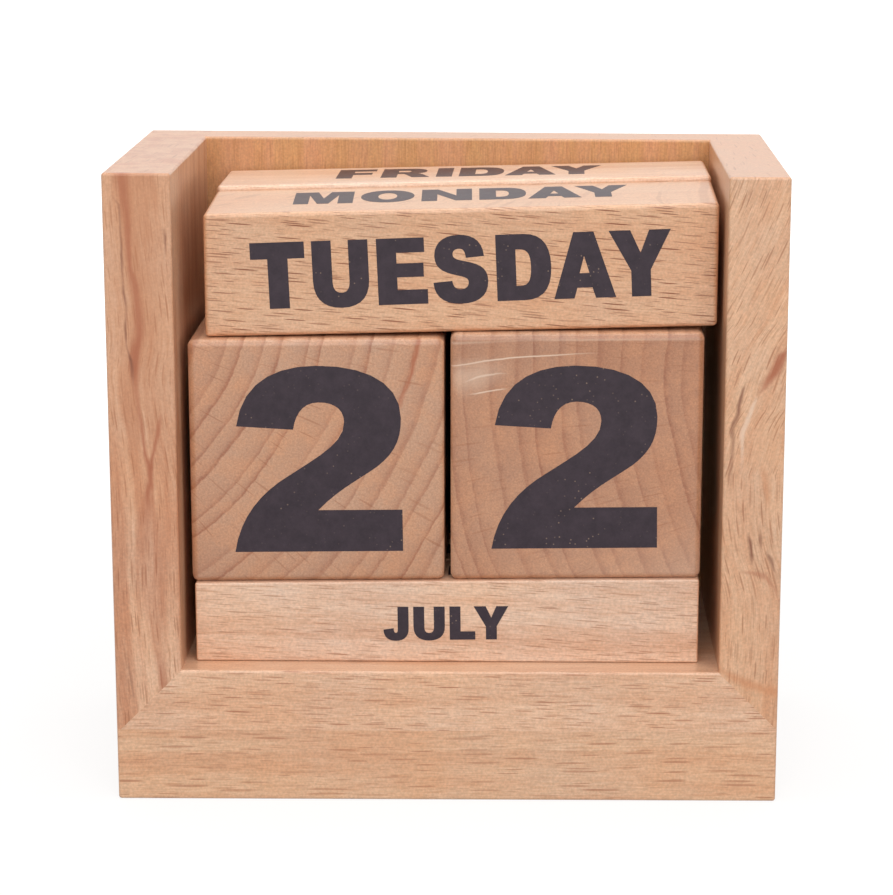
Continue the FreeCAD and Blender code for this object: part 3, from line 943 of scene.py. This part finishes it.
blockPrints = {
    # word, height of its capitals in mm, then where it isn't so: its width in mm (0 for the natural one),
    # its shift from the middle of the face in mm, and its turn in degrees
    "day_bar_front": {"front": ("TUESDAY", 11.45, 71.8, (0.03, 0.2), 0.75),
                      "top": ("MONDAY", 10.6, 58.2, (-0.2, 2.1), 1.1),
                      "bottom": ("WEDNESDAY", 11.0, 76.0),
                      "back": ("THURSDAY", 11.4, 74.0)},
    "day_bar_back": {"top": ("FRIDAY", 11.9, 47.8, (0.75, 1.3), -0.95),
                     "front": ("SATURDAY", 11.4, 72.0),
                     "bottom": ("SUNDAY", 11.4, 60.0)},
    "month_bar_front": {"back": ("MAY", monthHeight), "top": ("JUNE", monthHeight),
                        "front": ("JULY", monthHeight, 21.85, (-0.8, -0.25)),
                        "bottom": ("AUGUST", monthHeight)},
    "month_bar_middle": {"front": ("JANUARY", monthHeight), "bottom": ("FEBRUARY", monthHeight),
                         "back": ("MARCH", monthHeight), "top": ("APRIL", monthHeight)},
    "month_bar_back": {"front": ("SEPTEMBER", monthHeight), "bottom": ("OCTOBER", monthHeight),
                       "back": ("NOVEMBER", monthHeight), "top": ("DECEMBER", monthHeight)},
    "left_number_cube": {"front": ("2", 32.9, 29.15, (0.06, 0.38)), "top": ("1", digitHeight),
                         "back": ("3", digitHeight), "bottom": ("4", digitHeight),
                         "left": ("0", digitHeight), "right": ("5", digitHeight)},
    "right_number_cube": {"front": ("2", 32.36, 28.8, (-0.44, 0.04)), "top": ("0", digitHeight),
                          "back": ("6", digitHeight), "bottom": ("7", digitHeight),
                          "left": ("1", digitHeight), "right": ("8", digitHeight)},
}


def flatOf(node, direction):
    # The middle and the outward direction of the flat part of one side of a block
    piece = nodes[node]
    turn = piece.matrix_world.to_3x3()
    middle, out, area = Vector(), Vector(), 0
    for polygon in piece.data.polygons:
        normal = (turn @ polygon.normal).normalized()
        if normal.dot(direction) > lettering["flat"]:
            middle += (piece.matrix_world @ polygon.center) * polygon.area
            out += normal * polygon.area
            area += polygon.area
    return middle / area, out.normalized()


def faceStand(node, face):
    # The middle of the face and the turn that stands a letter on it
    toward, rightward = (Vector(axis) for axis in faceDirections[face])
    middle, out = flatOf(node, toward)
    if face in ("left", "right"):
        right = rightward
    else:
        # Along the block, also where its top and bottom aren't level
        right = flatOf(node, Vector((0, 0, 1)))[1].cross(flatOf(node, Vector((0, -1, 0)))[1])
        right *= math.copysign(1, right.dot(rightward))
    right = (right - out * right.dot(out)).normalized()
    return middle, Matrix((right, out.cross(right), out)).transposed()


def letterPlaces(word):
    # Each letter's left side, in units, and the whole word's width
    x, places = 0, []
    for index, letter in enumerate(word):
        places.append(x)
        pair = word[index:index + 2]
        gap = lettering["closePairs"].get(pair, lettering["gap"]) if len(pair) == 2 else 0
        x += glyphWidths[letter] + gap
    return places, x


def makePrintTree():
    # Puts one letter on every point. The points say which letter, how it is turned and how large it is.
    tree = bpy.data.node_groups.new("printedLetters", "GeometryNodeTree")
    for name, kind in (("Geometry", "NodeSocketGeometry"), ("Letters", "NodeSocketCollection"),
                       ("Ink Thickness", "NodeSocketFloat"), ("Ink", "NodeSocketMaterial")):
        tree.interface.new_socket(name, in_out="INPUT", socket_type=kind)
    tree.interface.new_socket("Geometry", in_out="OUTPUT", socket_type="NodeSocketGeometry")
    given = addNode(tree, "NodeGroupInput").outputs
    letters = addNode(tree, "GeometryNodeCollectionInfo", {}, {
        "Collection": given["Letters"], "Separate Children": True, "Reset Children": True})
    which, turn, size = (
        addNode(tree, "GeometryNodeInputNamedAttribute", {"data_type": kind}, {"Name": name}).outputs[0]
        for name, kind in (("letter", "INT"), ("turn", "FLOAT_VECTOR"), ("size", "FLOAT_VECTOR")))
    sides = addNode(tree, "ShaderNodeSeparateXYZ", {}, {0: size}).outputs
    placed = addNode(tree, "GeometryNodeInstanceOnPoints", {}, {
        "Points": given["Geometry"], "Instance": letters.outputs[0], "Pick Instance": True,
        "Instance Index": which,
        "Rotation": addNode(tree, "FunctionNodeEulerToRotation", {}, {0: turn}).outputs[0],
        "Scale": addPlace(tree, sides[0], sides[1], given["Ink Thickness"])})
    real = addNode(tree, "GeometryNodeRealizeInstances", {}, {0: placed.outputs[0]})
    inked = addNode(tree, "GeometryNodeSetMaterial", {}, {0: real.outputs[0], "Material": given["Ink"]})
    addNode(tree, "NodeGroupOutput", {}, {0: inked.outputs[0]})
    return tree


printTree = makePrintTree()


def printPoints(node, prints):
    # Places, letters, turns and sizes of all letters on one block
    points = []
    for face, (word, height, *rest) in prints.items():
        width, shift, degrees = (*rest, *(0, (0, 0), 0)[len(rest):])
        middle, stand = faceStand(node, face)
        turned = stand @ Matrix.Rotation(math.radians(degrees), 3, "Z")
        places, wordWidth = letterPlaces(word)
        tall = height * mm / lettering["capital"]
        wide = width * mm / wordWidth if width else tall
        start = middle + stand @ Vector((shift[0] * mm, shift[1] * mm, -lettering["sunk"] * mm))
        for letter, x in zip(word, places):
            onWord = Vector(((x - wordWidth / 2) * wide, -lettering["capital"] / 2 * tall, 0))
            place = start + turned @ onWord
            points.append((place, glyphNames.index(letter), turned.to_euler(), (wide, tall, 1)))
    return points


def makePrint(node, prints, body):
    points = printPoints(node, prints)
    mesh = bpy.data.meshes.new(node + "_ink")
    mesh.from_pydata([place for place, letter, turn, size in points], [], [])
    letters = [point[1] for point in points]
    mesh.attributes.new("letter", "INT", "POINT").data.foreach_set("value", letters)
    for name, column in (("turn", 2), ("size", 3)):
        row = [share for point in points for share in point[column]]
        mesh.attributes.new(name, "FLOAT_VECTOR", "POINT").data.foreach_set("vector", row)
    piece = bpy.data.objects.new(node + "_ink", mesh)
    bpy.context.scene.collection.objects.link(piece)
    modifier = piece.modifiers.new("printedLetters", "NODES")
    modifier.node_group = printTree
    values = {"Letters": glyphCollection, "Ink Thickness": (lettering["proud"] + lettering["sunk"]) * mm,
              "Ink": screenInk}
    for socket in printTree.interface.items_tree:
        if socket.in_out == "INPUT" and socket.name in values:
            modifier[socket.identifier] = values[socket.name]
    bpy.context.view_layer.update()
    printed = bpy.data.meshes.new_from_object(piece.evaluated_get(bpy.context.evaluated_depsgraph_get()))
    piece.modifiers.clear()
    piece.data = printed
    printed.name = node + "_ink"
    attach(piece, body)
    return len(points)


letterCount = sum(makePrint(node, prints, nodes[node]["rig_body"]) for node, prints in blockPrints.items())
for glyph in list(glyphCollection.objects):
    bpy.data.objects.remove(glyph)
bpy.data.collections.remove(glyphCollection)
print("printed", letterCount, "letters and digits on", len(blockPrints), "blocks")
